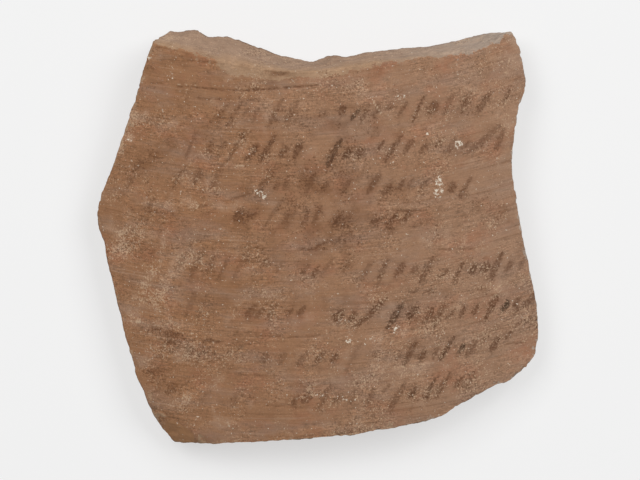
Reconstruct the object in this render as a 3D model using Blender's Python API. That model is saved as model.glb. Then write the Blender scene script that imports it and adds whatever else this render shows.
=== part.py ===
"""An ostracon: a piece broken from the shoulder of a wheel-thrown jar, lying with its written side up.

One solid, the sherd. It starts as a divided block, whose vertices are moved to the jar's outer face, to its
inner face and to the broken edges between them. Lengths are in millimetres until the finished mesh is scaled
to metres.
"""

import math

import bmesh
import bpy
from mathutils import Vector, noise
from mathutils.bvhtree import BVHTree

METRES = 0.001

# The jar: its axis leans, and its shoulder is an arc turned round that axis.
WALL = 8.6
WALL_GROWTH = 0.012  # the wall gets this much thicker with each millimetre towards the jar's mouth
SHOULDER_LEAN = math.radians(34.0)
AXIS_ROLL = math.radians(-3.0)
TURN_RADIUS = 86.0  # square to the axis, from the axis to the crown
PROFILE_RADIUS = 600.0
CROWN = Vector((-0.7, 44.4, 0.0))  # where the outer face is level

# Rings left by turning: from ring to ring along the axis, and how deep they are.
OUTER_RING_PITCH = 11.5
OUTER_RING_DEPTH = 0.22
INNER_RING_PITCH = 9.0
INNER_RING_DEPTH = 0.55
RING_WANDER = 17.0

# The outline of the outer face, as (across, up) from the middle of the sherd.
TOP_ARRIS = (
    (-38.8, 45.4), (-37.3, 44.9), (-33.0, 43.8), (-27.0, 41.8), (-22.5, 40.4), (-17.5, 39.6),
    (-9.5, 38.4), (-4.0, 38.0), (2.5, 38.4), (7.5, 39.2), (16.5, 40.8), (24.5, 41.7), (31.5, 42.2),
    (37.0, 43.5), (41.0, 44.6), (43.5, 47.2), (46.2, 48.6),
)
LEFT_EDGE = (
    (-38.8, 45.4), (-40.3, 41.8), (-43.2, 32.3), (-48.1, 17.9), (-51.8, 9.0), (-52.5, 5.5), (-52.2, 1.5),
    (-50.8, -1.2), (-50.0, -6.0), (-47.2, -17.5), (-45.5, -25.0), (-43.6, -30.5), (-43.5, -33.2),
    (-42.1, -35.2), (-39.7, -41.5), (-36.8, -46.2), (-34.0, -49.1),
)
BOTTOM_EDGE = (
    (-34.0, -49.1), (-24.0, -49.3), (-16.0, -48.9), (2.8, -47.6), (4.0, -47.2), (5.5, -47.5),
    (18.5, -45.4), (26.2, -43.6), (30.2, -42.4), (31.9, -40.9), (35.1, -39.3), (42.2, -35.4),
    (45.2, -34.7), (49.3, -31.6), (52.1, -27.9),
)
RIGHT_EDGE = (
    (46.2, 48.6), (48.1, 44.5), (49.4, 37.3), (49.4, 34.6), (47.6, 30.2), (46.5, 22.0), (46.1, 15.8),
    (46.8, 11.0), (48.3, 1.5), (50.2, -7.0), (52.3, -17.5), (52.7, -22.5), (52.1, -27.9),
)
# The broken top slants: its far rim stands out past the arris.
TOP_RIM = (
    (-37.0, 47.6), (-34.9, 48.9), (-33.3, 48.4), (-31.0, 49.1), (-28.2, 49.0), (-26.2, 47.3),
    (-23.6, 47.2), (-21.3, 47.6), (-19.0, 46.5), (-12.5, 44.2), (-9.0, 42.8), (-6.5, 42.4), (-3.0, 41.3),
    (-1.0, 41.0), (1.8, 42.5), (3.9, 43.0), (6.8, 42.2), (11.3, 43.5), (19.5, 44.5), (26.5, 45.1),
    (32.5, 46.4), (37.5, 48.0), (42.8, 48.9), (45.2, 48.5),
)
CORNER_REACH = 10.0  # how far down the side breaks the slant of the top runs out

# The lower left corner is split off: a plane dips into the outer face from a line square to this direction.
SPALL_TOWARDS = Vector((-0.50, -0.87))
SPALL_START = 54.9
SPALL_SLOPE = 0.75

# Lumps of the broken edges: their size and how far they stand out.
BREAK_GRAIN = 6.5
BREAK_RELIEF = 1.3

# The block's divisions: across, up and through the wall.
ACROSS, UP, THROUGH = 44, 40, 3

# The sherd rests on three corners, each worn flat by this much.
WORN_DEPTH = 0.45
SETTLING_TURNS = 6
LEVELLING_STEPS = 14

CLAY_COLOUR = (0.283, 0.159, 0.095, 1.0)
CLAY_ROUGHNESS = 0.92
SHARP_ANGLE = math.radians(35)

# The axis towards the mouth, the way in to it from the crown, and a point on it level with the crown.
MOUTHWARDS = Vector((
    math.cos(SHOULDER_LEAN) * math.sin(AXIS_ROLL),
    math.cos(SHOULDER_LEAN) * math.cos(AXIS_ROLL),
    math.sin(SHOULDER_LEAN),
))
INWARDS = Vector((
    math.sin(SHOULDER_LEAN) * math.sin(AXIS_ROLL),
    math.sin(SHOULDER_LEAN) * math.cos(AXIS_ROLL),
    -math.cos(SHOULDER_LEAN),
))
AXIS_POINT = CROWN + INWARDS * TURN_RADIUS
# The centre of the shoulder's arc, along the axis and out from it.
ARC_HEIGHT = -PROFILE_RADIUS * math.sin(SHOULDER_LEAN)
ARC_RADIUS = TURN_RADIUS - PROFILE_RADIUS * math.cos(SHOULDER_LEAN)


def from_arc_centre(point):
    """To a point from the centre of the shoulder's arc, in the plane through the jar's axis."""
    offset = point - AXIS_POINT
    spoke = (offset - MOUTHWARDS * offset.dot(MOUTHWARDS)).normalized()
    return offset - spoke * ARC_RADIUS - MOUTHWARDS * ARC_HEIGHT


def depth_in_wall(point):
    return PROFILE_RADIUS - from_arc_centre(point).length


def over(place, depth):
    """The point above or below a place on the plan that lies this deep in the wall."""
    point = Vector((place.x, place.y, 0.0))
    for _ in range(LEVELLING_STEPS):
        point.z += depth_in_wall(point) - depth
    return point


def height_in_jar(point):
    return (point - AXIS_POINT).dot(MOUTHWARDS)


def wall_at(place):
    return WALL + WALL_GROWTH * place.y


def divided(outline, count):
    """The outline cut into this many divisions, with each of its own points kept."""
    lengths = [math.dist(a, b) for a, b in zip(outline, outline[1:])]
    shares = [1] * len(lengths)
    for _ in range(count - len(lengths)):
        longest = max(range(len(lengths)), key=lambda k: lengths[k] / shares[k])
        shares[longest] += 1
    places = [Vector(outline[0])]
    for start, end, share in zip(outline, outline[1:], shares):
        places += [Vector(start).lerp(Vector(end), step / share) for step in range(1, share + 1)]
    return places


def lump(point):
    """How far the broken edge stands out, level and away from the middle of the sherd."""
    away = Vector((point.x, point.y, 0.0)).normalized()
    return away * noise.noise(point / BREAK_GRAIN) * BREAK_RELIEF


def square_through(place):
    """Where a break square to the wall, starting at a place on the outer face, meets the inner face."""
    start = over(place, 0.0)
    end = start - from_arc_centre(start).normalized() * wall_at(place) + lump(start)
    return Vector((end.x, end.y))


def inner_side(side, rim_corner):
    """The inner edge of a side break: square through the wall, but bent to the rim's corner near the top."""
    shift = rim_corner - square_through(side[-1])
    places = []
    for place in side:
        reach = max(0.0, 1.0 - (place - side[-1]).length / CORNER_REACH)
        places.append(square_through(place) + shift * reach)
    return places


def outlines():
    """The outer and the inner outline, each as its top, bottom, left and right edges. Sides run upwards."""
    top, bottom = divided(TOP_ARRIS, ACROSS), divided(BOTTOM_EDGE, ACROSS)
    left, right = divided(LEFT_EDGE[::-1], UP), divided(RIGHT_EDGE[::-1], UP)
    rim = divided(TOP_RIM, ACROSS)
    foot = [square_through(place) for place in bottom]
    inner = (rim, foot, inner_side(left, rim[0]), inner_side(right, rim[-1]))
    return (top, bottom, left, right), inner


def patch(outline, i, j):
    """The place on the plan for column i and row j, spread evenly between the outline's four edges."""
    top, bottom, left, right = outline
    u, v = i / ACROSS, j / UP
    from_ends = bottom[i] * (1 - v) + top[i] * v
    from_sides = left[j] * (1 - u) + right[j] * u
    from_corners = bottom[0].lerp(bottom[-1], u) * (1 - v) + top[0].lerp(top[-1], u) * v
    return from_ends + from_sides - from_corners


def ring(height, pitch, depth):
    wander = math.sin(height / RING_WANDER)
    return depth * (0.5 + 0.5 * math.sin(2 * math.pi * height / pitch + wander))


def outer_face(place):
    groove = ring(height_in_jar(over(place, 0.0)), OUTER_RING_PITCH, OUTER_RING_DEPTH)
    spall = max(0.0, place.dot(SPALL_TOWARDS) - SPALL_START) * SPALL_SLOPE
    return over(place, groove + spall)


def inner_face(place):
    wall = wall_at(place)
    return over(place, wall + ring(height_in_jar(over(place, wall)), INNER_RING_PITCH, INNER_RING_DEPTH))


def broken_edge(outside, inside, through):
    """A point of a break, between the outer and the inner face, with the lumps of the break."""
    point = outside.lerp(inside, through)
    return point + lump(point) * math.sin(math.pi * through)


def divided_block():
    """A block of unit size with a corner at the origin, cut into columns, rows and layers."""
    mesh = bmesh.new()
    bmesh.ops.create_cube(mesh, size=1.0)
    bmesh.ops.translate(mesh, verts=mesh.verts, vec=(0.5, 0.5, 0.5))
    for axis, count in enumerate((ACROSS, UP, THROUGH)):
        edges = [e for e in mesh.edges if abs(e.verts[0].co[axis] - e.verts[1].co[axis]) > 0.5]
        bmesh.ops.subdivide_edges(mesh, edges=edges, cuts=count - 1, use_grid_fill=True)
    return mesh


def shape_wall(mesh):
    """Moves each vertex of the block to its place in the wall. The block's top is the outer face."""
    outer, inner = outlines()
    for vertex in mesh.verts:
        i, j = round(vertex.co.x * ACROSS), round(vertex.co.y * UP)
        through = 1.0 - vertex.co.z
        outside, inside = outer_face(patch(outer, i, j)), inner_face(patch(inner, i, j))
        vertex.co = broken_edge(outside, inside, through)


def centre_of_mass(mesh):
    volume, moment = 0.0, Vector()
    for corners in mesh.calc_loop_triangles():
        a, b, c = (corner.vert.co for corner in corners)
        wedge = a.dot(b.cross(c))
        volume += wedge
        moment += (a + b + c) / 4 * wedge
    return moment / volume


def face_underneath(mesh):
    """The outward direction of the flat that the mesh would rest on: the hull's face below its centre."""
    hull = bmesh.new()
    for vertex in mesh.verts:
        hull.verts.new(vertex.co)
    bmesh.ops.convex_hull(hull, input=hull.verts)
    bmesh.ops.recalc_face_normals(hull, faces=hull.faces)
    _, outwards, _, _ = BVHTree.FromBMesh(hull).ray_cast(centre_of_mass(mesh), Vector((0, 0, -1)))
    hull.free()
    return outwards


def set_down(mesh):
    """Turns the sherd until it rests level, wears its corners flat, and centres it over the origin."""
    for _ in range(SETTLING_TURNS):
        turn = face_underneath(mesh).rotation_difference(Vector((0, 0, -1)))
        bmesh.ops.rotate(mesh, verts=mesh.verts, cent=(0, 0, 0), matrix=turn.to_matrix())
    table = min(vertex.co.z for vertex in mesh.verts) + WORN_DEPTH
    everything = mesh.verts[:] + mesh.edges[:] + mesh.faces[:]
    bmesh.ops.bisect_plane(
        mesh, geom=everything, plane_co=(0, 0, table), plane_no=(0, 0, -1), clear_outer=True,
    )
    bmesh.ops.holes_fill(mesh, edges=[edge for edge in mesh.edges if edge.is_boundary])
    bmesh.ops.recalc_face_normals(mesh, faces=mesh.faces)
    spans = [[vertex.co[axis] for vertex in mesh.verts] for axis in (0, 1)]
    middle = Vector([(min(span) + max(span)) / 2 for span in spans] + [table])
    bmesh.ops.translate(mesh, verts=mesh.verts, vec=-middle)


def fired_clay():
    material = bpy.data.materials.new("fired clay")
    material.use_nodes = True
    shader = material.node_tree.nodes["Principled BSDF"]
    shader.inputs["Base Color"].default_value = CLAY_COLOUR
    shader.inputs["Roughness"].default_value = CLAY_ROUGHNESS
    shader.inputs["Metallic"].default_value = 0.0
    return material


def build_sherd(collection):
    mesh = divided_block()
    shape_wall(mesh)
    set_down(mesh)
    bmesh.ops.scale(mesh, verts=mesh.verts, vec=(METRES, METRES, METRES))
    data = bpy.data.meshes.new("sherd")
    mesh.to_mesh(data)
    mesh.free()
    data.materials.append(fired_clay())
    data.shade_smooth()
    data.set_sharp_from_angle(angle=SHARP_ANGLE)
    collection.objects.link(bpy.data.objects.new("sherd", data))


def main():
    for old in list(bpy.data.objects):
        bpy.data.objects.remove(old)
    collection = bpy.data.collections.new("ostracon")
    bpy.context.scene.collection.children.link(collection)
    build_sherd(collection)


main()
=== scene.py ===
"""An ostracon: a piece broken from the shoulder of a wheel-thrown jar, written on in ink, on a pale table.

The sherd starts as a copy of the frame's own solid. It is subdivided, and its fine relief is worked out from
each vertex's place on the jar: the turning marks, the grain of the breaks and the wear of the edges. Ink,
scratches and crusts are attributes on its vertices that the clay's material reads. Lengths are in millimetres
until the finished mesh is scaled to metres.
"""

import math
import random

import bmesh
import bpy
import numpy as np
from bpy.props import FloatProperty, FloatVectorProperty, IntProperty, PointerProperty
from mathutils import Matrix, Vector, noise
from mathutils.kdtree import KDTree


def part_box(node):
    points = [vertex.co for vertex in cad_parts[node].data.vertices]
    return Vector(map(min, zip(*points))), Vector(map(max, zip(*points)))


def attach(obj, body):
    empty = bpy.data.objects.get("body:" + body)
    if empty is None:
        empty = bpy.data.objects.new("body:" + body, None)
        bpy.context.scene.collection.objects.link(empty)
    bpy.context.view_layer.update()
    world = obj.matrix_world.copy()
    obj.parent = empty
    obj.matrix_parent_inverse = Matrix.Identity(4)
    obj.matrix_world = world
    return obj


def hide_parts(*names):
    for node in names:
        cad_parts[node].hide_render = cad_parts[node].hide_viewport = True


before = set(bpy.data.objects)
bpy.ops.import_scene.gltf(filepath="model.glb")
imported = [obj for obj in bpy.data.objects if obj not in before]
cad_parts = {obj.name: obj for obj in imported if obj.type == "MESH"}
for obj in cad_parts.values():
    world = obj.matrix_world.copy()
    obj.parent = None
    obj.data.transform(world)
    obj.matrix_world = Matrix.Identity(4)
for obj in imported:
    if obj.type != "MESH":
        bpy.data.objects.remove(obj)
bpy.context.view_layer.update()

bl_info = {
    "name": "Ostracon",
    "version": (1, 0, 0),
    "blender": (4, 5, 0),
    "location": "View3D > Sidebar > Ostracon",
    "description": "Builds a potsherd with rows of ink strokes, and the table and light that it is seen in",
    "category": "Add Mesh",
}

MM = 0.001
SHERD_LOW, SHERD_HIGH = (np.array(corner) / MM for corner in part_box("sherd"))


def linear(colour):
    """A colour written as six hex digits, as the linear red, green and blue that Blender works in."""
    shares = [int(colour[start:start + 2], 16) / 255 for start in (0, 2, 4)]
    return [share / 12.92 if share <= 0.04045 else ((share + 0.055) / 1.055) ** 2.4 for share in shares]


def placed(name, mesh):
    """A new object in the scene, with this mesh."""
    data = bpy.data.meshes.new(name)
    mesh.to_mesh(data)
    mesh.free()
    thing = bpy.data.objects.new(name, data)
    bpy.context.scene.collection.objects.link(thing)
    return thing


# -------- the jar

# The jar's shoulder is an arc turned round a leaning axis. The crown is where the outer face lies level.
SHOULDER_LEAN = math.radians(33.5)
AXIS_ROLL = math.radians(-2.9)
TURN_RADIUS = 88.7
PROFILE_RADIUS = 600.0
CROWN = np.array((-0.8, 39.7, SHERD_HIGH[2]))

LEVEL = np.array((math.sin(AXIS_ROLL), math.cos(AXIS_ROLL), 0.0))
UPRIGHT = np.array((0.0, 0.0, 1.0))
MOUTHWARDS = LEVEL * math.cos(SHOULDER_LEAN) + UPRIGHT * math.sin(SHOULDER_LEAN)
OUTWARDS = UPRIGHT * math.cos(SHOULDER_LEAN) - LEVEL * math.sin(SHOULDER_LEAN)
SIDEWAYS = np.cross(MOUTHWARDS, OUTWARDS)
AXIS_POINT = CROWN - OUTWARDS * TURN_RADIUS


def seen_from_axis(points):
    """Each point's line out from the jar's axis, that line's length, and the point's rise and reach.

    The rise and the reach are counted from the centre of the shoulder's arc.
    """
    offsets = points - AXIS_POINT
    heights = offsets @ MOUTHWARDS
    spokes = offsets - np.outer(heights, MOUTHWARDS)
    radii = np.linalg.norm(spokes, axis=1)
    rise = heights + PROFILE_RADIUS * math.sin(SHOULDER_LEAN)
    reach = radii - TURN_RADIUS + PROFILE_RADIUS * math.cos(SHOULDER_LEAN)
    return spokes, radii, rise, reach


def place_on_jar(points):
    """Where each point is on the jar: round it, up its shoulder, and down into its wall."""
    spokes, radii, rise, reach = seen_from_axis(points)
    around = np.arctan2(spokes @ SIDEWAYS, spokes @ OUTWARDS) * radii
    up = (np.arctan2(rise, reach) - SHOULDER_LEAN) * PROFILE_RADIUS
    return np.column_stack((around, up, PROFILE_RADIUS - np.hypot(rise, reach)))


def out_of_wall(points):
    """The direction straight out of the wall at each point."""
    spokes, radii, rise, reach = seen_from_axis(points)
    out = spokes * (reach / radii)[:, None] + np.outer(rise, MOUTHWARDS)
    return out / np.linalg.norm(out, axis=1, keepdims=True)


# -------- marks on the surface

FAR = 3.0  # beyond this distance a mark isn't felt


def rounded(line, times=2):
    """The line with its corners cut off this many times, as a pen would round them."""
    for _ in range(times):
        cut = [line[0]]
        for start, end in zip(line, line[1:]):
            cut += [start * 0.75 + end * 0.25, start * 0.25 + end * 0.75]
        line = np.array(cut + [line[-1]])
    return line


def near_marks(places, marks):
    """Each place's distance from the edge of the nearest mark, below zero inside it, and that mark's force.

    A mark is a line of points, the half-width at each of them, and a force.
    """
    distance = np.full(len(places), FAR)
    force = np.zeros(len(places))
    for line, half_widths, mark_force in marks:
        within = (places > line.min(0) - FAR) & (places < line.max(0) + FAR)
        close = np.flatnonzero(np.all(within, axis=1))
        for start, end, width, next_width in zip(line, line[1:], half_widths, half_widths[1:]):
            run = end - start
            along = np.clip((places[close] - start) @ run / (run @ run), 0.0, 1.0)
            gap = np.linalg.norm(places[close] - start - along[:, None] * run, axis=1)
            gap -= width + (next_width - width) * along
            nearer = gap < distance[close]
            distance[close[nearer]] = gap[nearer]
            force[close[nearer]] = mark_force
    return distance, force


# -------- the sherd

OUTER, BROKEN, INNER = 0, 1, 2
SKIN_COSINE = 0.9  # a face this square to the wall belongs to the outer or the inner face
MERGE_DISTANCE = 0.002
QUAD_BEND = math.radians(30)
QUAD_SKEW = math.radians(70)
SHARP_ANGLE = math.radians(40)
FINE_CUTS = 2
TOUCHING = 0.02  # a vertex this low rests on the table
EDGE_REACH = 0.55  # wear is felt about this far from a sharp edge

# Grooves left by turning, along the jar as (around, up), with their half-width and force.
GROOVES = (
    (((-41.3, -7.6), (-38.9, -7.2)), 0.14, 0.9),
    (((-40.6, -6.4), (-36.3, -5.8)), 0.1, 0.7),
    (((-33.6, -6.2), (-29.9, -5.8), (-25.8, -5.7), (-21.6, -5.7), (-17.4, -5.6)), 0.14, 1),
    (((-16.5, -5.5), (-12, -5.2), (-7.5, -4.8), (-3.4, -4.6), (0.6, -4.4)), 0.15, 1.1),
    (((-29.9, -8.3), (-23.8, -8.1), (-17.7, -7.8), (-12.1, -7.8)), 0.12, 0.9),
    (((-17, -62.9), (-10, -63.4), (-2, -63.1)), 0.12, 0.7),
    (((24, -45.5), (30, -46.6), (36, -47.6)), 0.12, 0.7),
    (((43, -71.6), (48, -72.7)), 0.12, 0.7),
    (((-29, -33.6), (-23, -32), (-17, -29.8)), 0.24, 0.5),
)

# Dark scores across the turning, as (across, up), with their half-width and force.
SCORES = (
    (((-39.6, -21.6), (-36.6, -22.2), (-32.6, -23.2)), 0.18, 0.62),
    (((-37, -24.5), (-34, -25.2)), 0.2, 0.66),
    (((-26.4, -24.4), (-22.9, -25)), 0.16, 0.85),
    (((-44, -25.7), (-39.5, -24.3)), 0.15, 0.5),
    (((-40.6, -34.9), (-33.2, -33)), 0.15, 0.5),
    (((-12.3, -39.8), (-5, -40.3), (0.3, -40.5)), 0.1, 0.7),
    (((-13.7, -24.3), (-8.7, -21.2)), 0.1, 0.6),
    (((-45, 6.4), (-38, 5.4), (-31, 5.6)), 0.22, 0.3),
    # These three lines are the notch under the top edge: cut into the relief, and darkened in colour as
    # painted shade.
    (((-12.4, 38.7), (-9.6, 38.4)), 0.24, 0.36),
    (((-10.4, 38.3), (-6.7, 38.4)), 0.14, 0.75),
    (((-9.4, 37.8), (-7.6, 38)), 0.26, 0.58),
    (((-37.2, 41.5), (-30, 41.2), (-22.5, 40.7)), 0.13, 0.55),
    (((-38.4, 44.6), (-36, 44.3), (-33.2, 43.7)), 0.12, 0.6),
    (((10.6, 8.8), (15, 8.4), (19, 8.3)), 0.11, 0.7),
    (((17.5, 6.1), (21, 5.9), (24, 6)), 0.15, 0.85),
    (((-24.4, 27.8), (-21, 27.7)), 0.12, 0.7),
    (((-19, -25.3), (-15.8, -25.4)), 0.12, 0.8),
    (((-4.2, -2.8), (-1.3, -3.4), (0.5, -1.9), (3, -1.3), (6.4, 0.3), (8.3, 1.3)), 0.18, 0.7),
)

# Light scratches through the skin, as (across, up), with their half-width and force.
SCRATCHES = (
    (((13, 31.6), (13.8, 30.2), (15, 28.2)), 0.03, 1.5),
    (((8.2, 28.3), (9.8, 26.9), (12, 25.2)), 0.08, 0.6),
    (((-45.5, -20), (-35, -21.8), (-24, -25)), 0.06, 0.5),
    (((-24.5, -42.6), (-20.8, -44.4)), 0.1, 0.7),
    (((-7, -38.6), (-1.5, -37.4), (4, -36.8)), 0.06, 0.5),
    (((29, 19.2), (36, 20.6), (43.5, 23)), 0.05, 0.4),
    (((-43.8, -19.9), (-38, -20.9), (-32.4, -22.3)), 0.05, 0.7),
    (((-42.1, -22.6), (-38.6, -23.4), (-35.8, -24.8)), 0.05, 0.7),
    (((-31, -22.6), (-28, -23)), 0.06, 0.8),
    (((-21.7, 17), (-17.5, 16.6)), 0.05, 0.8),
    (((-21, 16.2), (-18, 16)), 0.04, 0.7),
    (((-33, 35.7), (-27, 35.4), (-19, 34.8)), 0.05, 0.6),
)

# A line is this strong at its edge and fades over this width, in the relief and in the colour of the clay.
RELIEF_EDGE, RELIEF_FADE = 0.5, 0.35
COLOUR_EDGE, COLOUR_FADE = 0.6, 0.4
FRAYING = 0.22  # how far a line's edge strays with the grain
SCORE_DEPTH = 0.7  # a score's depth as a share of a groove's

# Where the skin has flaked off at the edges: the middle, the reach across and up, and how wide a band is
# lost.
FLAKED = (
    (-13, 38.8, 10.5, 2.4, 4), (0, 38.4, 6, 1.6, 3), (-34, 45.4, 5, 0.9, 1.5), (10, 39.8, 5, 0.9, 1.2),
    (-39.6, -37, 0.9, 1.6, 2),
)
FLAKE_REACH = 1.4  # a flake ends this many reaches from its middle

# White crusts on the outer face: the middle, the reach across and up, and how thickly they cover.
CRUSTS = (
    (28.4, 12.8, 1, 1.4, 0.7), (28, 10, 1.1, 1.2, 0.7), (29, 11.3, 0.8, 1.3, 0.6), (33.2, 21.8, 1, 1.1, 0.8),
    (25.6, 24, 0.4, 0.4, 0.9), (19.1, 32.7, 1.3, 0.7, 0.72), (12, 32.6, 0.8, 0.4, 0.5),
    (-34.5, 37.8, 0.9, 1.6, 0.35), (-13.8, 10.4, 1.2, 0.9, 0.68), (-12.6, 9.3, 0.9, 0.7, 0.68),
    (-44.8, 22.6, 1.2, 0.8, 0.35), (-28.4, -43, 1, 0.5, 0.62), (-29.5, -44.8, 0.5, 0.5, 0.6),
    (1, -37.2, 1.6, 0.7, 0.5), (5.2, -37.6, 1.2, 0.5, 0.5), (-40, 42.2, 0.5, 0.9, 0.7),
    (5.8, -19.8, 1.4, 0.6, 0.45), (7.3, -24.7, 0.9, 0.6, 0.7), (18.4, -22, 1.1, 0.8, 0.68),
    (12.5, -24.6, 2.6, 1.2, 0.3), (7.4, -38.6, 2.2, 0.5, 0.4),
)
CRUST_REACH = 1.5  # as FLAKE_REACH, for a crust

# The old break at the lower left corner, worn smooth and browned.
OLD_SPALL = ((((-34.9, -45.9), (-31.5, -47.9)), 2.2, 1),)
SPALL_MARGIN = 2.9
SPALL_FADE = 0.2

# The upper right tip, rubbed blunt.
BLUNT_TIP = (46.2, 48.9)
BLUNT_REACH = 1.5
BLUNT_PASSES = 6

# Worn and stained patches: the middle, the reach along and across, the turn in degrees, and the tone. Below
# zero the clay is darker and browner there, and above zero it is rubbed paler. The darkest patch, in the
# notch under the top edge, is painted shade.
PATCHES = (
    (-38, 33, 14, 9, 0, -0.1), (2, 13, 15, 9, 0, -0.75), (38, 11, 8, 9, 0, -0.25), (0, 28, 14, 5, 0, -0.4),
    (-36, -14, 8, 6, 10, 0.5), (46.5, 44.5, 3, 4, 0, 0.6), (-42, 16.5, 5, 2.2, 10, -0.6),
    (-21.5, 4.6, 6, 1.8, -4, -0.8), (47, 26, 2.4, 4, 0, 0.6), (-27, 24, 8, 3, 0, -0.5),
    (34, -26, 7, 3, 10, 0.4), (21, -33, 4, 2.5, 0, 0.5), (38, 17, 5, 3, 0, 0.4), (4, 3, 4, 3, 0, -0.6),
    (12, 24, 4, 2, 0, -0.5), (-38, 6, 6.5, 1, -12, -0.6), (-44.5, -11.5, 2.2, 3, 30, -0.6),
    (-40, -4, 2.5, 2.5, 0, -0.4), (-36.9, -22.6, 2.8, 1, -12, -0.9), (-31.4, -23.8, 2.4, 0.7, -14, -0.8),
    (-35, -25.1, 2, 0.5, -8, -0.7), (-25, -24.7, 2.6, 0.4, -8, -0.9), (-41.5, -23.5, 3, 1.2, 20, -0.5),
    (-37.5, -31.8, 3.6, 1.2, 12, -0.7), (-28, -14.5, 3.4, 1, -14, -0.5), (43, 5, 1.3, 3, 0, -0.5),
    (36, 28.6, 2, 1.6, 0, -0.5), (36.5, -38.4, 2.4, 0.6, 24, -1), (3.2, -47.4, 1.6, 0.5, 0, -1),
    # The first patch here, at (-9.2, 38), is painted shade in the notch under the top edge.
    (-9.2, 38, 3.2, 1, -4, -1.6), (6.3, 26.4, 1.3, 0.9, 0, -0.9), (17, 2, 1.8, 1.4, 0, -0.8),
    (-1, -3, 2.4, 0.8, 5, -0.6), (20, 39, 6, 1.2, 4, -0.3), (-47, 21.5, 4.5, 1.6, 48, 0.8),
    (-44.5, 28, 1.6, 4, 0, 0.5), (-45.5, 12, 3.6, 0.9, -14, 0.6), (-36.6, -3, 1.1, 4.6, -8, 0.9),
    (-42, -12.6, 7.5, 1.3, 54, 0.5), (46, -12, 3, 3, 0, 0.4), (-28, 7.4, 10, 1.3, -3, 0.7),
    (-34.5, 38, 0.8, 2.2, 0, 0.8), (-27, 21, 1, 2.4, 20, 0.5), (-12, -12.5, 3, 1.2, -30, 0.5),
    (12, -24.5, 4, 1.6, 10, 0.7), (20, -23, 3, 1.3, 0, 0.7), (24, -30.5, 6, 1.8, 12, 0.5),
    (6, -33, 7, 2.2, 0, 0.4), (-28, -44.5, 7, 1.4, 6, 0.5), (43.5, -11.5, 3, 1.4, 20, 0.6),
    (13, -13.5, 2, 1, 30, 0.6), (34, -1.5, 5, 1.4, 0, 0.4), (-24, -35.5, 5, 1.5, 8, 0.4),
    (-8, 24, 1, 2.6, 0, 0.5), (16.5, 27, 1.4, 2.4, 0, 0.4), (-33, -28.5, 4, 1.4, 0, 0.5),
    (-40, -27.5, 3.2, 1.6, 50, 0.5), (44, 15, 2.4, 4, 0, 0.3), (-13, 37, 8, 0.9, -4, 0.4),
    (-2, 36.4, 5, 0.8, 4, 0.3), (2, 1, 16, 9, 0, -0.35), (-33, -7, 4, 3, 30, 0.5),
    (-46, -3.4, 2.6, 3, 0, 0.3), (-31.5, -18.5, 4.6, 1.4, -8, -0.5), (-43.5, -20, 2.6, 1.2, 60, 0.6),
    (-30.5, -38.5, 5, 1.6, 20, 0.5), (-34, -35, 2.4, 1.2, 0, -0.6), (-20, -39, 5.5, 1.6, 6, -0.4),
    (-12, -43.5, 6, 1.3, 0, 0.4), (-44, 1, 4.5, 1.5, -10, 0.5), (-40, 19, 3, 2, 20, -0.5),
    (-36, 26.5, 4.5, 1.6, -14, 0.5), (-30, 13.5, 4, 1.4, -8, 0.4), (-48.6, 6, 1.8, 3.4, 0, 0.5),
    (-25, -9, 3.4, 1.2, 0, -0.4), (2, -43, 7, 1.2, 0, -0.3), (-23, 44.4, 13, 1.6, -12, 0.2),
    (34, 45.6, 8, 1.2, 13, 0.3), (-33, 46.8, 5, 1.2, 0, 1),
)

# Where the grain stands out more, above zero, or is wiped smooth, below it, laid out as the patches are.
COARSE = (
    (-28, 31, 14, 7, -5, -0.08), (-35, 40.5, 8, 5, 0, -0.08), (30, 36, 22, 8, 5, -0.04),
    (7, 38.5, 8, 4, 0, -0.1), (31, 28, 5, 6, 0, -0.07), (-10, 21, 9, 6, 0, -0.07), (43, 10, 11, 11, 0, -0.09),
    (12, -15, 6, 6, 0, -0.08), (1, 0, 7, 6, 0, -0.05), (21, -40, 6, 4, 0, -0.07), (-8, -42, 16, 5, 0, -0.05),
    (-38, 10, 8, 8, 0, 0.04), (-34, 3, 7, 4, 0, 0.08), (-40, -12, 6, 5, 0, 0.08), (-33, -26, 9, 8, 0, 0.04),
    (20, -26, 8, 4.5, 5, 0.09), (42, -19, 7, 4, 5, 0.07), (40, -29, 9, 5, 15, 0.03),
)


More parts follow.
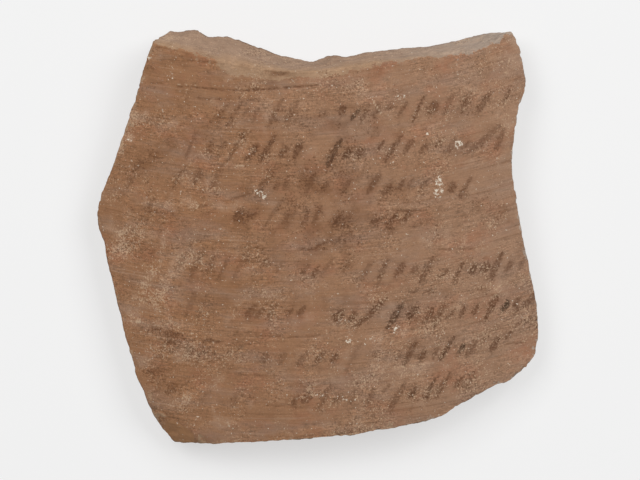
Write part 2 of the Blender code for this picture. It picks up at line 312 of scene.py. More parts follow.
class SherdSettings(bpy.types.PropertyGroup):
    """Clay colours and the depth of the sherd's fine relief."""

    brown_clay: FloatVectorProperty(
        name="Brown clay", description="The wiped outer face", subtype="COLOR", default=linear("936b4d"))
    pale_clay: FloatVectorProperty(
        name="Pale clay", description="The outer face where it fired paler", subtype="COLOR",
        default=linear("98775f"))
    red_clay: FloatVectorProperty(
        name="Red clay", description="Redder patches of the skin", subtype="COLOR", default=linear("99654b"))
    grey_film: FloatVectorProperty(
        name="Grey film", description="The film that drifts along the turning", subtype="COLOR",
        default=linear("8f7462"))
    # This colour also lays the painted shade in the notch under the top edge.
    stain_and_shade_clay: FloatVectorProperty(
        name="Stained clay", description="Dark patches of every face", subtype="COLOR",
        default=linear("6a4429"))
    rubbed_clay: FloatVectorProperty(
        name="Rubbed clay", description="Pale worn patches of every face", subtype="COLOR",
        default=linear("b69880"))
    broken_clay: FloatVectorProperty(
        name="Broken clay", description="The clay just inside the wall", subtype="COLOR",
        default=linear("9f8065"))
    browned_clay: FloatVectorProperty(
        name="Browned clay", description="The old worn break at a corner", subtype="COLOR",
        default=linear("9e7552"))
    core_clay: FloatVectorProperty(
        name="Core clay", description="The greyer clay at the wall's core", subtype="COLOR",
        default=linear("947b69"))
    smoked_clay: FloatVectorProperty(
        name="Smoked clay", description="The break at the right, fired grey", subtype="COLOR",
        default=linear("a08f81"))
    inner_clay: FloatVectorProperty(
        name="Inner clay", description="The unwiped inner face", subtype="COLOR", default=linear("8f6043"))
    lime_haze: FloatVectorProperty(
        name="Lime haze", description="The thin lime left on the inner face", subtype="COLOR",
        default=linear("a58f7b"))
    groove_depth: FloatProperty(
        name="Groove depth", description="Depth of the deepest turning groove", unit="LENGTH",
        default=0.24 * MM)
    ridge_depth: FloatProperty(
        name="Ridge depth", description="Depth of the ridges left by the potter's fingers", unit="LENGTH",
        default=0.08 * MM)
    break_roughness: FloatProperty(
        name="Break roughness", description="Depth of the lumps on the broken edges", unit="LENGTH",
        default=0.55 * MM)
    edge_wear: FloatProperty(
        name="Edge wear", description="How far the sharp edges are rubbed down", unit="LENGTH",
        default=0.14 * MM)
    edge_chips: FloatProperty(
        name="Edge chips", description="Depth of the small bites out of the sharp edges", unit="LENGTH",
        default=0.85 * MM)


def solid_copy(node):
    """The frame's mesh of a node as a closed mesh of quads, in millimetres."""
    mesh = bmesh.new()
    mesh.from_mesh(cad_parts[node].data)
    bmesh.ops.scale(mesh, verts=mesh.verts, vec=(1 / MM, 1 / MM, 1 / MM))
    bmesh.ops.remove_doubles(mesh, verts=mesh.verts, dist=MERGE_DISTANCE)
    bmesh.ops.recalc_face_normals(mesh, faces=mesh.faces)
    bmesh.ops.join_triangles(
        mesh, faces=mesh.faces, angle_face_threshold=QUAD_BEND, angle_shape_threshold=QUAD_SKEW)
    return mesh


def mark_zones(mesh):
    """Marks each face as outer, broken or inner, and creases the edges between them."""
    zone = mesh.faces.layers.int.new("zone")
    crease = mesh.edges.layers.float.new("crease_edge")
    out = out_of_wall(np.array([face.calc_center_median() for face in mesh.faces]))
    for face, direction in zip(mesh.faces, out):
        squareness = face.normal.dot(Vector(direction))
        face[zone] = OUTER if squareness > SKIN_COSINE else INNER if squareness < -SKIN_COSINE else BROKEN
    for edge in mesh.edges:
        one, other = edge.link_faces
        resting = all(vertex.co.z < TOUCHING for vertex in edge.verts)
        if one[zone] != other[zone] or edge.calc_face_angle() > SHARP_ANGLE or resting:
            edge[crease] = 1.0


def smoothed(mesh):
    """The mesh after one level of subdivision surface."""
    rough = placed("rough sherd", mesh)
    rounding = rough.modifiers.new("rounding", "SUBSURF")
    rounding.levels = rounding.render_levels = 1
    fine = bmesh.new()
    fine.from_object(rough, bpy.context.evaluated_depsgraph_get())
    bpy.data.meshes.remove(rough.data)
    return fine


def blunt_tip(mesh):
    """Rounds the upper right tip."""
    close = [vertex for vertex in mesh.verts if math.dist(vertex.co.xy, BLUNT_TIP) < BLUNT_REACH]
    for _ in range(BLUNT_PASSES):
        bmesh.ops.smooth_vert(
            mesh, verts=close, factor=0.5, use_axis_x=True, use_axis_y=True, use_axis_z=True)


def distance_from_arris(mesh, zone, skin):
    """How far each vertex is from the edge of the outer or the inner face, below zero beyond that edge."""
    within = [any(face[zone] == skin for face in vertex.link_faces) for vertex in mesh.verts]
    beyond = [any(face[zone] != skin for face in vertex.link_faces) for vertex in mesh.verts]
    tree = KDTree(len(within))
    for vertex, inside, outside in zip(mesh.verts, within, beyond):
        if inside and outside:
            tree.insert(vertex.co, vertex.index)
    tree.balance()
    away = np.array([tree.find(vertex.co)[2] for vertex in mesh.verts])
    return np.where(beyond, -away, away)


def zone_shares(mesh, zone):
    """The share of each vertex's faces that are outer, broken and inner."""
    shares = np.zeros((len(mesh.verts), 3))
    for vertex in mesh.verts:
        for face in vertex.link_faces:
            shares[vertex.index, face[zone]] += 1 / len(vertex.link_faces)
    return shares


def fractal(points, octaves, shift=0.0):
    """Noise of many sizes at each point, from about -1 to 1. The largest of its lumps are one unit across.

    A shift takes it from another part of the noise, so that two patterns don't match.
    """
    return np.array([noise.fractal(Vector(point), 1.0, 2.0, octaves) for point in points + shift])


def even_marks(lines):
    """Lines that each have one half-width and one force, as marks."""
    marks = []
    for line, half_width, force in lines:
        line = rounded(np.array(line, float))
        marks.append((line, np.full(len(line), half_width), force))
    return marks


def line_strength(lines, places, points, at_edge, fade):
    """How strong the nearest line is at each place. Its edge frays with the clay's grain at each point."""
    distance, force = near_marks(places[:, :2], even_marks(lines))
    distance += FRAYING * fractal(points / 0.9, 2, 15.0)
    return force * np.clip(at_edge - distance / fade, 0.0, 1.0)


def spot_strength(spots, points, fade):
    """The strength of the strongest spot at each point. A spot fades out from its middle."""
    strongest = np.zeros(len(points))
    for *place, strength in spots:
        spread = np.linalg.norm((points[:, :2] - place[:2]) / place[2:], axis=1)
        strongest = np.maximum(strongest, strength * np.clip(fade - spread, 0.0, 1.0))
    return strongest


def patch_tone(patches, points):
    """The sum of the patches' tones at each point. A patch fades out raggedly round its middle."""
    tone = np.zeros(len(points))
    ragged = 0.7 * fractal(points / 4.0, 4, 60.0)
    for across, up, long_reach, short_reach, turn, strength in patches:
        turn = math.radians(turn)
        along = np.array((math.cos(turn), math.sin(turn)))
        offsets = points[:, :2] - (across, up)
        spread = np.hypot(offsets @ along / long_reach, offsets @ (-along[1], along[0]) / short_reach)
        tone += strength * np.exp(-np.clip(spread + ragged, 0.0, None) ** 2)
    return tone


# The relief's patterns are scaled by the size of their lumps in millimetres.


def outer_relief(points, jar, look):
    """Finger ridges, grooves, scores, low waves and small pits, as depths below the CAD's outer face."""
    ridges = 0.5 + 0.5 * fractal(jar * (1 / 70, 1 / 3.4, 1 / 9), 4)
    waves = 0.5 + 0.5 * fractal(points / 9.0, 2)
    pits = np.clip(fractal(points / 1.7, 2, 50.0) - 0.52, 0.0, 0.4)
    grooves = np.maximum(
        line_strength(GROOVES, jar, points, RELIEF_EDGE, RELIEF_FADE),
        line_strength(SCORES, points, points, RELIEF_EDGE, RELIEF_FADE) * SCORE_DEPTH)
    depth = look.ridge_depth / MM * (ridges + 1.4 * waves)
    return depth + 0.8 * pits + look.groove_depth / MM * grooves


def broken_relief(points, jar, look):
    """Lumps of temper and torn layers of clay, as depths below and heights above the CAD's broken faces."""
    lumps = fractal(points / 2.6, 4)
    layers = fractal(jar * (1 / 8, 1 / 8, 1 / 1.1), 3, 20.0)
    grains = np.clip(fractal(points / 0.9, 2, 80.0), -0.3, 0.6)
    return look.break_roughness / MM * (0.4 * lumps + 0.32 * layers + 0.3 * grains)


def inner_relief(points, jar, look):
    """Finer rings between the CAD's finger rings, and a coarse grain."""
    rings = 0.5 + 0.5 * fractal(jar * (1 / 60, 1 / 2.6, 0.0), 3, 30.0)
    grain = 0.5 + 0.5 * fractal(points / 3.0, 3, 10.0)
    return look.ridge_depth / MM * (1.6 * rings + 0.9 * grain)


def edge_losses(points, edges, look):
    """How much is gone from the sharp edges: an uneven wear all along them, and small bites in places."""
    wear = look.edge_wear / MM * np.clip(0.7 + 0.9 * fractal(points / 4.0, 3, 5.0), 0.2, 2.0)
    bites = np.clip(fractal(points / 1.5, 2, 40.0) - 0.12, 0.0, 0.5)
    bites *= np.clip(0.6 + fractal(points / 9.0, 1, 70.0), 0.1, 1.0)
    losses = wear + look.edge_chips / MM * bites
    return losses * sum(np.exp(-(edge / EDGE_REACH) ** 2) for edge in edges)


def carve(mesh, look):
    """Sinks the fine relief into the mesh, and returns what the clay's material reads at each vertex."""
    zone = mesh.faces.layers.int["zone"]
    blunt_tip(mesh)
    mesh.normal_update()
    points = np.array([vertex.co for vertex in mesh.verts])
    normals = np.array([vertex.normal for vertex in mesh.verts])
    jar = place_on_jar(points)
    shares = zone_shares(mesh, zone)
    edges = [distance_from_arris(mesh, zone, skin) for skin in (OUTER, INNER)]
    sinking = edge_losses(points, edges, look)
    for share, relief in zip(shares.T, (outer_relief, broken_relief, inner_relief)):
        sinking += share * relief(points, jar, look)
    sinking[points[:, 2] < TOUCHING] = 0.0
    points = np.clip(points - normals * sinking[:, None], SHERD_LOW, SHERD_HIGH)
    for vertex, point in zip(mesh.verts, points):
        vertex.co = point

    fading = np.clip(1.0 + 1.1 * fractal(points / 5.0, 2, 90.0), 0.35, 1.0) * shares[:, OUTER]
    groove, score, scratch = (
        line_strength(lines, places, points, COLOUR_EDGE, COLOUR_FADE) * fading
        for lines, places in ((GROOVES, jar), (SCORES, points), (SCRATCHES, points)))
    past_spall = near_marks(points[:, :2], even_marks(OLD_SPALL))[0]
    browned = np.clip(0.5 - past_spall / SPALL_FADE, 0.0, 1.0) * (1.0 - shares[:, INNER])
    skin_edge = edges[0] - spot_strength(FLAKED, points, FLAKE_REACH)
    return {
        "around_up_deep": jar,
        "from_arris": edges[0],
        "skin_edge": np.where(past_spall < SPALL_MARGIN, FAR, skin_edge),
        "browned": browned,
        "inside": shares[:, INNER],
        "tone": patch_tone(PATCHES, points) * (1.0 - shares[:, INNER]) * (1.0 - browned),
        "coarse": patch_tone(COARSE, points),
        "groove": np.maximum(groove, score),
        "scratch": scratch,
        "crust": spot_strength(CRUSTS, points, CRUST_REACH) * shares[:, OUTER],
        "ink_edge": np.full(len(points), FAR),
        "ink_load": np.zeros(len(points)),
    }


def write_attribute(data, name, values):
    """Stores a number or a vector for each vertex."""
    kind, member = ("FLOAT", "value") if values.ndim == 1 else ("FLOAT_VECTOR", "vector")
    attribute = data.attributes.get(name) or data.attributes.new(name, kind, "POINT")
    attribute.data.foreach_set(member, values.astype(np.float32).ravel())


# -------- the clay's material

# The material's patterns are scaled in lumps to the millimetre: the sand's 2.8 gives grains of 0.36 mm.


def opaque(colour):
    """A colour with full alpha."""
    return (*colour, 1.0)


def add(tree, kind, inputs=(), out=None, **settings):
    """Adds a node with its settings, sets or links its inputs, and returns one output: the first in use.

    Inputs and another output go by name, or by number where names repeat. Colours are given without alpha.
    """
    node = tree.nodes.new(kind)
    for name, value in settings.items():
        setattr(node, name, value)
    for key, value in dict(inputs).items():
        named = [socket for socket in node.inputs if socket.name == key and socket.enabled]
        socket = named[0] if named else node.inputs[key]
        if isinstance(value, bpy.types.NodeSocket):
            tree.links.new(value, socket)
        else:
            socket.default_value = opaque(value) if socket.type == "RGBA" else value
    return next(socket for socket in node.outputs if socket.enabled and out in (None, socket.name))


def drawn_out(tree, jar, scales, detail, roughness, shift=(0.0, 0.0, 0.0)):
    """Noise with its own scale round the jar, up its shoulder and into its wall."""
    stretched = add(tree, "ShaderNodeMapping", {"Vector": jar, "Location": shift, "Scale": scales})
    return add(
        tree, "ShaderNodeTexNoise",
        {"Vector": stretched, "Scale": 1.0, "Detail": detail, "Roughness": roughness})


def tinted(tree, colour, value, span, opacity, tint):
    """A colour with a tint over it, from none at the start of the value's span to this opacity at its end."""
    share = add(
        tree, "ShaderNodeMapRange",
        {"Value": value, "From Min": span[0], "From Max": span[1], "To Max": opacity})
    return add(tree, "ShaderNodeMix", {"Factor": share, "A": colour, "B": tint}, data_type="RGBA")


def shaded(tree, colour, value, span, tones, share=1.0):
    """A colour darkened and lightened by a value, which goes from one tone to the other over its span."""
    tone = add(
        tree, "ShaderNodeMapRange",
        {"Value": value, "From Min": span[0], "From Max": span[1], "To Min": tones[0], "To Max": tones[1]})
    return add(
        tree, "ShaderNodeMix", {"Factor": share, "A": colour, "B": tone},
        data_type="RGBA", blend_type="MULTIPLY")


def skin_colour(tree, jar, spot, look):
    """The wiped outer face: brown, paler to the right, with red patches, grey film and streaks."""
    across = add(tree, "ShaderNodeSeparateXYZ", {"Vector": spot}, out="X")
    cloud = add(tree, "ShaderNodeTexNoise", {"Vector": spot, "Scale": 0.035, "Detail": 2.0})
    swayed = add(tree, "ShaderNodeMath", {0: cloud, 1: 70.0, 2: across}, operation="MULTIPLY_ADD")
    colour = tinted(tree, look.brown_clay, swayed, (5.0, 85.0), 1.0, look.pale_clay)
    redness = drawn_out(tree, jar, (0.09, 0.14, 0.0), 5.0, 0.65)
    colour = tinted(tree, colour, redness, (0.5, 0.7), 0.55, look.red_clay)
    film = drawn_out(tree, jar, (0.05, 0.18, 0.0), 5.0, 0.65, shift=(3.0, 7.0, 0.0))
    colour = tinted(tree, colour, film, (0.48, 0.66), 0.62, look.grey_film)
    line = drawn_out(tree, jar, (0.035, 1.9, 0.0), 2.0, 0.5)
    colour = tinted(tree, colour, line, (0.6, 0.7), 0.36, look.stain_and_shade_clay)
    colour = tinted(tree, colour, line, (0.38, 0.3), 0.25, look.rubbed_clay)
    unwiped = add(tree, "ShaderNodeTexNoise", {"Vector": spot, "Scale": 0.07, "Detail": 2.0})
    unwiped = add(tree, "ShaderNodeMapRange", {"Value": unwiped, "From Min": 0.42, "From Max": 0.6})
    streak = drawn_out(tree, jar, (0.08, 1.2, 0.0), 5.0, 0.65)
    return shaded(tree, colour, streak, (0.3, 0.7), (0.82, 1.14), unwiped)


def broken_colour(tree, jar, spot, look):
    """The torn clay: paler than the skin, in thin layers along the wall, greyer at its core and the right."""
    deep = add(tree, "ShaderNodeSeparateXYZ", {"Vector": jar}, out="Z")
    colour = tinted(tree, look.broken_clay, deep, (0.8, 3.5), 0.7, look.core_clay)
    across = add(tree, "ShaderNodeSeparateXYZ", {"Vector": spot}, out="X")
    colour = tinted(tree, colour, across, (12.0, 43.0), 1.0, look.smoked_clay)
    layers = drawn_out(tree, jar, (0.25, 0.25, 0.8), 6.0, 0.7)
    return shaded(tree, colour, layers, (0.3, 0.7), (0.84, 1.16))


def inner_colour(tree, jar, spot, look):
    """The inner face, left as it was turned: redder, ringed, and hazed with lime where water stood."""
    haze = add(tree, "ShaderNodeTexNoise", {"Vector": spot, "Scale": 0.06, "Detail": 6.0, "Roughness": 0.7})
    colour = tinted(tree, look.inner_clay, haze, (0.44, 0.7), 0.5, look.lime_haze)
    rings = drawn_out(tree, jar, (0.04, 0.7, 0.0), 4.0, 0.6)
    return shaded(tree, colour, rings, (0.3, 0.7), (0.88, 1.1))


def wear_over(tree, colour, spot, tone, look):
    """Stained and rubbed patches, and painted shade in the notch under the top edge: the large ones in their
    places, and smaller blotches all over.
    """
    blotch = add(
        tree, "ShaderNodeTexNoise", {"Vector": spot, "Scale": 0.22, "Detail": 6.0, "Roughness": 0.62})
    tone = add(tree, "ShaderNodeMath", {0: blotch, 1: 5.0, 2: tone}, operation="MULTIPLY_ADD")
    colour = tinted(tree, colour, tone, (2.3, 0.8), 0.58, look.stain_and_shade_clay)
    return tinted(tree, colour, tone, (2.75, 4.1), 0.5, look.rubbed_clay)


def grain_over(tree, colour, jar, spot, grit, skinned, worn):
    """The sandy grain of low-fired silt, drawn out by the wiping of the skin."""
    wiped = drawn_out(tree, jar, (0.45, 2.9, 0.0), 2.0, 0.8)
    sand = add(tree, "ShaderNodeTexNoise", {"Vector": spot, "Scale": 2.8, "Detail": 2.0, "Roughness": 0.8})
    grain = 0.0
    for pattern, weight in ((sand, 0.4), (wiped, 0.45), (grit, 0.35)):
        grain = add(tree, "ShaderNodeMath", {0: pattern, 1: weight, 2: grain}, operation="MULTIPLY_ADD")
    rough = add(
        tree, "ShaderNodeTexNoise", {"Vector": spot, "Scale": 0.13, "Detail": 4.0, "Roughness": 0.6})
    rough = add(tree, "ShaderNodeMath", {0: rough, 1: worn}, operation="ADD")
    rough = add(
        tree, "ShaderNodeMapRange", {"Value": rough, "From Min": 0.42, "From Max": 0.6, "To Min": 0.28})
    torn = add(tree, "ShaderNodeMapRange", {"Value": skinned, "To Min": 0.65})
    rough = add(tree, "ShaderNodeMath", {0: rough, 1: torn}, operation="MULTIPLY")
    return shaded(tree, colour, grain, (0.45, 0.75), (0.47, 1.53), rough)


def ink_over(tree, colour, spot, grit, edge, load, writing):
    """Carbon ink soaked into the clay: ragged at its edges, rubbed through, and mostly faded to brown."""
    frayed = add(tree, "ShaderNodeMath", {0: grit, 1: 1.6, 2: edge}, operation="MULTIPLY_ADD")
    faint = add(tree, "ShaderNodeMath", {0: load, 1: 0.24}, operation="MULTIPLY")
    colour = tinted(tree, colour, frayed, (2.1, 0.75), faint, writing.faded_ink)
    rubbed = add(
        tree, "ShaderNodeTexNoise", {"Vector": spot, "Scale": 1.7, "Detail": 4.0, "Roughness": 0.8})
    rubbed = add(
        tree, "ShaderNodeMapRange", {"Value": rubbed, "From Min": 0.4, "From Max": 0.58, "To Min": 0.3})
    kept = add(tree, "ShaderNodeMath", {0: load, 1: rubbed}, operation="MULTIPLY")
    ink = tinted(tree, writing.faded_ink, load, (0.84, 1.0), 1.0, writing.black_ink)
    return tinted(tree, colour, frayed, (0.96, 0.64), kept, ink)


def flecks_over(tree, colour, spot, tone, worn):
    """Specks of cream temper, thickest on rubbed skin, and dark pits, thickest on stained skin."""
    patch = add(
        tree, "ShaderNodeTexNoise", {"Vector": spot, "Scale": 0.12, "Detail": 3.0, "Roughness": 0.6})
    patch = add(tree, "ShaderNodeMath", {0: patch, 1: worn}, operation="ADD")
    for scale, rarity, follows, opacity, tint in (
        (2.6, 0.91, 0.11, 0.62, "c8aa8c"),
        (1.1, 1.085, 0.05, 0.52, "d4bea2"),
        (2.2, 0.905, -0.1, 0.62, "553521"),
        (1.2, 1.035, -0.05, 0.68, "4a2c1b"),
    ):
        own_pattern = 7.0 * scale + 20.0 * rarity
        speck = add(
            tree, "ShaderNodeTexNoise",
            {"Vector": spot, "Scale": scale, "Detail": 2.0, "Roughness": 0.75, "W": own_pattern},
            noise_dimensions="4D")
        speck = add(tree, "ShaderNodeMath", {0: patch, 1: 0.6, 2: speck}, operation="MULTIPLY_ADD")
        speck = add(tree, "ShaderNodeMath", {0: tone, 1: follows, 2: speck}, operation="MULTIPLY_ADD")
        colour = tinted(tree, colour, speck, (rarity, rarity + 0.1), opacity, linear(tint))
    return colour


def marks_over(tree, colour, grit, stored):
    """Dirt in the turning grooves and scores, painted shade in the notch under the top edge, pale scratches,
    and white crusts of lime that stand in specks.
    """
    for name, raggedness, soft_from, soft_to, opacity, tint in (
        # The groove tint is dirt in the grooves and scores, and painted shade where the notch under the top
        # edge runs.
        ("groove", 2.0, 0.1, 0.8, 0.72, "5a3823"),
        ("scratch", 1.8, 0.25, 0.6, 0.55, "c4ab90"),
        ("crust", 4.0, 0.66, 0.86, 0.85, "ddd2c0"),
    ):
        ragged = add(
            tree, "ShaderNodeMath", {0: grit, 1: raggedness, 2: stored[name]}, operation="MULTIPLY_ADD")
        span = (raggedness / 2 + soft_from, raggedness / 2 + soft_to)
        colour = tinted(tree, colour, ragged, span, opacity, linear(tint))
    return colour


def fired_clay(look, writing):
    """Nile silt fired brown: dry and matt, with flecks of temper, faded ink and a few white crusts."""
    material = bpy.data.materials.new("fired Nile silt, wiped and written on")
    material.use_nodes = True
    tree = material.node_tree
    shader = tree.nodes["Principled BSDF"]
    stored = {
        name: add(tree, "ShaderNodeAttribute", attribute_name=name, out="Fac")
        for name in (
            "skin_edge", "browned", "inside", "tone", "coarse", "groove", "scratch", "crust",
            "ink_edge", "ink_load")}
    jar = add(tree, "ShaderNodeAttribute", attribute_name="around_up_deep", out="Vector")
    in_metres = add(tree, "ShaderNodeTexCoord", out="Object")
    spot = add(tree, "ShaderNodeMapping", {"Vector": in_metres, "Scale": (1 / MM, 1 / MM, 1 / MM)})
    grit = add(tree, "ShaderNodeTexNoise", {"Vector": spot, "Scale": 1.6, "Detail": 3.0, "Roughness": 0.7})

    # The grain shows most where the ink has eaten in.
    edge, load = stored["ink_edge"], stored["ink_load"]
    inked = add(
        tree, "ShaderNodeMapRange", {"Value": edge, "From Max": 1.2, "To Min": 0.11, "To Max": 0.0})
    worn = add(
        tree, "ShaderNodeMath", {0: inked, 1: load, 2: stored["coarse"]}, operation="MULTIPLY_ADD")

    # The skin ends raggedly, a little inside the arris or a little over it.
    wander = add(
        tree, "ShaderNodeTexNoise", {"Vector": spot, "Scale": 0.4, "Detail": 3.0, "Roughness": 0.6})
    ragged = stored["skin_edge"]
    for pattern, sway in ((grit, 1.6), (wander, 7.0)):
        ragged = add(tree, "ShaderNodeMath", {0: pattern, 1: sway, 2: ragged}, operation="MULTIPLY_ADD")
    skinned = add(tree, "ShaderNodeMapRange", {"Value": ragged, "From Min": 4.05, "From Max": 4.4})
    colour = broken_colour(tree, jar, spot, look)
    for share, face_colour in ((skinned, skin_colour), (stored["inside"], inner_colour)):
        colour = add(
            tree, "ShaderNodeMix", {"Factor": share, "A": colour, "B": face_colour(tree, jar, spot, look)},
            data_type="RGBA")

    colour = wear_over(tree, colour, spot, stored["tone"], look)
    colour = grain_over(tree, colour, jar, spot, grit, skinned, worn)
    colour = ink_over(tree, colour, spot, grit, edge, load, writing)
    colour = flecks_over(tree, colour, spot, stored["tone"], worn)
    colour = tinted(tree, colour, stored["browned"], (0.0, 1.0), 0.8, look.browned_clay)
    colour = marks_over(tree, colour, grit, stored)
    tree.links.new(colour, shader.inputs["Base Color"])
    shader.inputs["Roughness"].default_value = 0.9
    shader.inputs["Specular IOR Level"].default_value = 0.2
    bump = add(tree, "ShaderNodeBump", {"Height": grit, "Strength": 0.6, "Distance": 0.12 * MM})
    tree.links.new(bump, shader.inputs["Normal"])
    return material


class OSTRACON_OT_sherd(bpy.types.Operator):
    """Builds the sherd over the frame's solid: its relief, what lies on its surface, and its clay"""

    bl_idname = "ostracon.sherd"
    bl_label = "Build the sherd"

    def execute(self, context):
        look, writing = context.scene.ostracon_sherd, context.scene.ostracon_writing
        mesh = solid_copy("sherd")
        mark_zones(mesh)
        mesh = smoothed(mesh)
        zone = mesh.faces.layers.int["zone"]
        fine = {edge for face in mesh.faces if face[zone] != INNER for edge in face.edges}
        bmesh.ops.subdivide_edges(mesh, edges=list(fine), cuts=FINE_CUTS, use_grid_fill=True)
        attributes = carve(mesh, look)
        bmesh.ops.scale(mesh, verts=mesh.verts, vec=(MM, MM, MM))
        sherd = placed("written_sherd", mesh)
        sherd.data.materials.append(fired_clay(look, writing))
        sherd.data.shade_smooth()
        for name, values in attributes.items():
            write_attribute(sherd.data, name, values)
        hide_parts("sherd")
        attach(sherd, "root")
        return {"FINISHED"}


# -------- the writing

# The strokes of the pen, in units of the writing's height. None of them is a letter, and they stand apart.
STROKES = {
    "l": ((-0.23, -0.5), (-0.04, -0.06), (0.25, 0.5)),
    "/": ((-0.63, -0.56), (-0.04, -0.1), (0.65, 0.6)),
    "i": ((-0.15, -0.28), (0.0, 0.02), (0.15, 0.28)),
    "'": ((-0.08, -0.02), (0.04, 0.14), (0.16, 0.3)),
    ",": ((0.18, 0.14), (0.05, -0.04), (-0.1, -0.22)),
    "-": ((-0.23, -0.06), (0.0, 0.02), (0.23, 0.12)),
    ".": ((-0.12, -0.16), (0.02, -0.02), (0.12, 0.18)),
}
PRESSURE = {".": 1.45, "-": 0.65, "'": 0.85, "i": 1.1}

# Each row of writing: its height at the left, in the middle and at the right of the sherd, then its groups of
# strokes, as where the group starts and ends, how much ink it keeps, and its strokes, with a space for a gap.
ROW_REACH = 45.0
ROWS = (
    (31.8, 28.6, 33, (
        (-23.5, -13, 0.45, "il,i"), (-11, -5, 0.55, "l i"), (-0.5, 3.5, 0.4, "-"), (4.5, 9.5, 0.9, ". ,"),
        (10, 14.5, 0.8, "l i"), (15.5, 18.5, 0.6, "-"), (19, 28, 0.8, "i l ."), (29.5, 36, 0.6, "l i"),
        (38, 46, 0.7, "l i"))),
    (23.2, 19.6, 23.4, (
        (-31, -22, 0.55, "l i,"), (-20, -4, 0.8, "l i l , i"), (3, 7.5, 0.95, "l ,"), (8.5, 12.5, 0.9, ". "),
        (13.5, 18.5, 0.85, "' l"), (19.5, 23, 0.8, "i"), (24, 29, 0.65, ". '"), (30.5, 35.5, 0.55, "i ,"),
        (37, 45, 0.65, "/l"))),
    (14.6, 12, 12.3, (
        (-45, -42, 0.4, "l"), (-34, -23, 0.5, "l i l"), (-14, 8, 0.4, "l,i l, i"), (12, 20, 0.8, "l , ."),
        (20.5, 25, 0.65, "' i"), (30.5, 35.5, 0.8, ". l"))),
    (8, 4.2, 2.6, (
        (-41, -38, 0.3, "i"), (-30, -24, 0.25, "-,"), (-19.5, -15, 0.75, ". -"), (-11.5, 8, 0.5, "l, il ,i"),
        (13.5, 21, 0.8, "- . '"), (21.5, 25, 0.55, "-"))),
    (-4.6, -8, -7, (
        (-33, -21, 0.5, "i l i l"), (-19.5, -8, 0.4, "l i,"), (-4, 12, 0.5, "i,l ' l"),
        (14.5, 23.5, 0.72, "l i ,"), (24.5, 34, 0.8, "l , l"), (35.5, 40.5, 0.85, ". ."),
        (41.5, 45.5, 0.8, "l ."), (46.5, 50.5, 0.5, "i"))),
    (-13, -18.6, -16.2, (
        (-31, -26, 0.35, "l,"), (-17, -12.6, 0.62, ".."), (-12.5, -9.5, 0.45, "i"), (-7.5, -3.5, 0.7, ", '"),
        (4, 8.8, 0.9, ". ."), (9, 15, 0.85, "/"), (17, 27, 0.92, "l . i"), (28, 34.5, 0.85, "l , i"),
        (35.5, 38.5, 1, "."), (40, 45, 1, "l ."), (46, 51, 0.85, "' /"))),
    (-13.6, -13.6, -13.2, (
        (21.5, 27.5, 0.5, "--"),)),
    (-25, -28.8, -24.6, (
        (-38, -26, 0.3, "i ,l"), (-14, -11, 0.6, "."), (-10, -7, 0.4, "i"), (-4.5, 4.5, 0.75, "i . ,"),
        (7, 20, 0.35, "l ' i"), (20.5, 28.5, 0.8, "l , i"), (29.5, 34.5, 0.9, "l ."),
        (35.5, 39.5, 0.75, "i '"), (41, 45.5, 0.8, "i '"))),
    (-34, -38.2, -32, (
        (-39, -34, 0.4, "i,"), (-28, -14, 0.25, "l i,"), (-6.5, -2, 0.7, ", ."), (0.5, 9, 0.6, "l , i"),
        (11.5, 19.5, 0.6, "i ' l"), (21, 27.5, 0.85, ". l"), (29, 36.5, 0.8, "l , i"))),
)


class WritingSettings(bpy.types.PropertyGroup):
    """The ink and the pen."""

    faded_ink: FloatVectorProperty(
        name="Faded ink", description="Most of the ink, gone brown", subtype="COLOR",
        default=linear("553420"))
    black_ink: FloatVectorProperty(
        name="Black ink", description="The ink where it lies thickest", subtype="COLOR",
        default=linear("443326"))
    pen_width: FloatProperty(
        name="Pen width", description="Width of the reed pen's stroke", unit="LENGTH", default=1.40 * MM)
    height: FloatProperty(
        name="Height", description="Height of a tall stroke", unit="LENGTH", default=5.4 * MM)
    seed: IntProperty(name="Seed", description="Another number gives the strokes another sway", default=11)


def row_height(left, middle, right, across):
    """The height of a row at a place across the sherd."""
    share = across / ROW_REACH
    return middle + (right - left) / 2 * share + ((right + left) / 2 - middle) * share * share


def pen_strokes(writing):
    """Every stroke of the writing as a mark, swayed and pressed a little differently each time."""
    sway = random.Random(writing.seed)
    marks = []
    for left, middle, right, groups in ROWS:
        for start, end, load, strokes in groups:
            step = (end - start) / len(strokes)
            for index, stroke in enumerate(strokes):
                if stroke == " ":
                    continue
                across = start + (index + 0.5) * step + sway.uniform(-0.25, 0.25)
                size = writing.height / MM * sway.uniform(0.8, 1.2)
                line = rounded(np.array(STROKES[stroke]) * size)
                line[:, 0] += across + line[:, 1] * sway.uniform(-0.12, 0.2)
                line[:, 1] += row_height(left, middle, right, across) + sway.uniform(-0.6, 0.6)
                share = np.linspace(0.0, 1.0, len(line))
                pressure = PRESSURE.get(stroke, 1.0) * sway.uniform(0.55, 1.15)
                swelling = 0.45 + 0.55 * np.sin(math.pi * share ** sway.uniform(0.5, 1.6))
                half_widths = writing.pen_width / MM / 2 * pressure * swelling
                marks.append((line, half_widths, load * sway.uniform(0.7, 1.08)))
    return marks


class OSTRACON_OT_writing(bpy.types.Operator):
    """Inks the rows of strokes on the sherd's outer face"""

    bl_idname = "ostracon.writing"
    bl_label = "Ink the rows"

    def execute(self, context):
        data = bpy.data.objects["written_sherd"].data
        points = np.array([vertex.co for vertex in data.vertices]) / MM
        arris = np.zeros(len(points), np.float32)
        data.attributes["from_arris"].data.foreach_get("value", arris)
        edge, load = near_marks(points[:, :2], pen_strokes(context.scene.ostracon_writing))
        load[arris < 0.0] = 0.0
        write_attribute(data, "ink_edge", edge)
        write_attribute(data, "ink_load", load)
        return {"FINISHED"}


# -------- the table, the light and the camera

SENSOR = 36.0
FRAMED_HEIGHT = 8.0  # the camera's view is as wide as it is said to be at this height
VIEW_MIDDLE = (0.48, -0.89)
UNDER_SHERD = 0.02
TABLE_SIDE = 4.0  # the table and the lamps' places are in metres
LEFT_LAMP = (-0.48, 0.42, 1.0)
RIGHT_LAMP = (0.62, 0.42, 0.92)


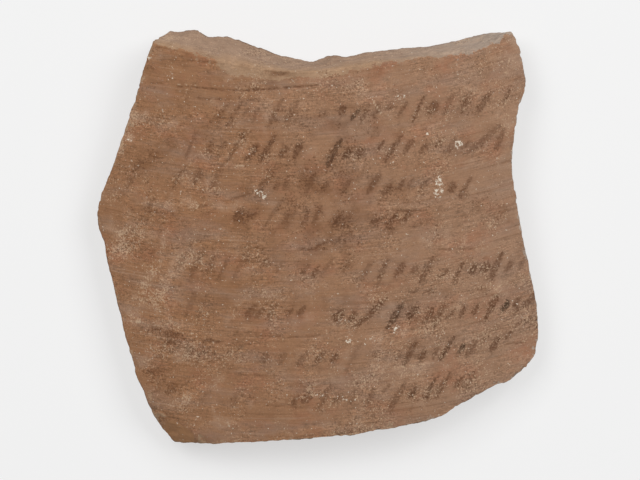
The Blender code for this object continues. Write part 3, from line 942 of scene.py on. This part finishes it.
class StageSettings(bpy.types.PropertyGroup):
    """The table, the lights and the camera."""

    table: FloatVectorProperty(
        name="Table", description="The pale table top", subtype="COLOR", default=linear("f1f1f1"))
    glow: FloatProperty(
        name="Glow", description="Share of the table's brightness that comes through it from below",
        subtype="FACTOR", min=0.0, max=1.0, default=0.66)
    sky: FloatProperty(name="Sky", description="Strength of the light from all round", default=0.2)
    left_lamp: FloatProperty(
        name="Left lamp", description="Power of the lamp at the left", unit="POWER", default=7.8)
    right_lamp: FloatProperty(
        name="Right lamp", description="Power of the lamp at the right", unit="POWER", default=8.4)
    lamp_size: FloatProperty(
        name="Lamp size", description="Side of each soft lamp", unit="LENGTH", default=0.7)
    lens: FloatProperty(
        name="Lens", description="Focal length of the camera", unit="CAMERA", default=180.0)
    view_width: FloatProperty(
        name="View width", description="How much of the table the camera sees across", unit="LENGTH",
        default=0.1520)


def opal_sheet(colour, glow):
    """Opal acrylic, sanded matt and lit from below: an even pale ground that keeps shadows faint."""
    material = bpy.data.materials.new("opal acrylic, sanded and lit from below")
    material.use_nodes = True
    shader = material.node_tree.nodes["Principled BSDF"]
    shader.inputs["Base Color"].default_value = opaque([share * (1.0 - glow) for share in colour])
    shader.inputs["Emission Color"].default_value = opaque(colour)
    shader.inputs["Emission Strength"].default_value = glow
    shader.inputs["Roughness"].default_value = 0.85
    shader.inputs["Specular IOR Level"].default_value = 0.0
    return material


def lay_table(colour, glow):
    """A square sheet that lies just under the sherd."""
    mesh = bmesh.new()
    bmesh.ops.create_grid(mesh, x_segments=1, y_segments=1, size=TABLE_SIDE / 2)
    bmesh.ops.translate(mesh, verts=mesh.verts, vec=(0.0, 0.0, -UNDER_SHERD * MM))
    table = placed("table_top", mesh)
    table.data.materials.append(opal_sheet(colour, glow))


def hang_lamp(name, place, power, size):
    """A soft square lamp that shines on the middle of the table."""
    lamp = bpy.data.lights.new(name, "AREA")
    lamp.energy = power
    lamp.size = size
    holder = bpy.data.objects.new(name, lamp)
    holder.location = place
    holder.rotation_euler = Vector(place).to_track_quat("Z", "Y").to_euler()
    holder.visible_camera = False
    bpy.context.scene.collection.objects.link(holder)


def studio(wall_colour, light):
    """The room: dim light from all round, and pale walls where the camera looks past the table."""
    room = bpy.data.worlds.new("studio")
    room.use_nodes = True
    seen = add(room.node_tree, "ShaderNodeLightPath", out="Is Camera Ray")
    strength = add(room.node_tree, "ShaderNodeMapRange", {"Value": seen, "To Min": light})
    background = room.node_tree.nodes["Background"]
    background.inputs["Color"].default_value = opaque(wall_colour)
    room.node_tree.links.new(strength, background.inputs["Strength"])
    return room


class OSTRACON_OT_stage(bpy.types.Operator):
    """Lays the table, hangs the lamps and sets up the camera"""

    bl_idname = "ostracon.stage"
    bl_label = "Set the stage"

    def execute(self, context):
        stage = context.scene.ostracon_stage
        lay_table(stage.table, stage.glow)
        hang_lamp("left lamp", LEFT_LAMP, stage.left_lamp, stage.lamp_size)
        hang_lamp("right lamp", RIGHT_LAMP, stage.right_lamp, stage.lamp_size)
        context.scene.world = studio(stage.table, stage.sky)
        camera = bpy.data.cameras.new("camera")
        camera.lens = stage.lens
        camera.sensor_width = SENSOR
        holder = bpy.data.objects.new("camera", camera)
        above = stage.view_width * stage.lens / SENSOR + FRAMED_HEIGHT * MM
        holder.location = (VIEW_MIDDLE[0] * MM, VIEW_MIDDLE[1] * MM, above)
        context.scene.collection.objects.link(holder)
        context.scene.camera = holder
        context.scene.view_settings.view_transform = "Standard"
        return {"FINISHED"}


# -------- the add-on

OPERATORS = (OSTRACON_OT_sherd, OSTRACON_OT_writing, OSTRACON_OT_stage)
SETTINGS = {
    "ostracon_sherd": SherdSettings,
    "ostracon_writing": WritingSettings,
    "ostracon_stage": StageSettings,
}


class OSTRACON_PT_panel(bpy.types.Panel):
    """Lists the settings, with the button that builds from them"""

    bl_label = "Ostracon"
    bl_space_type = "VIEW_3D"
    bl_region_type = "UI"
    bl_category = "Ostracon"

    def draw(self, context):
        for operator, (name, settings) in zip(OPERATORS, SETTINGS.items()):
            box = self.layout.box()
            for setting in settings.__annotations__:
                box.prop(getattr(context.scene, name), setting)
            box.operator(operator.bl_idname)


def register():
    for kind in (*SETTINGS.values(), *OPERATORS, OSTRACON_PT_panel):
        bpy.utils.register_class(kind)
    for name, settings in SETTINGS.items():
        setattr(bpy.types.Scene, name, PointerProperty(type=settings))


def unregister():
    for name in SETTINGS:
        delattr(bpy.types.Scene, name)
    for kind in (OSTRACON_PT_panel, *OPERATORS, *SETTINGS.values()):
        bpy.utils.unregister_class(kind)


def main():
    register()
    bpy.ops.ostracon.sherd()
    bpy.ops.ostracon.writing()
    bpy.ops.ostracon.stage()


if __name__ == "__main__":
    main()
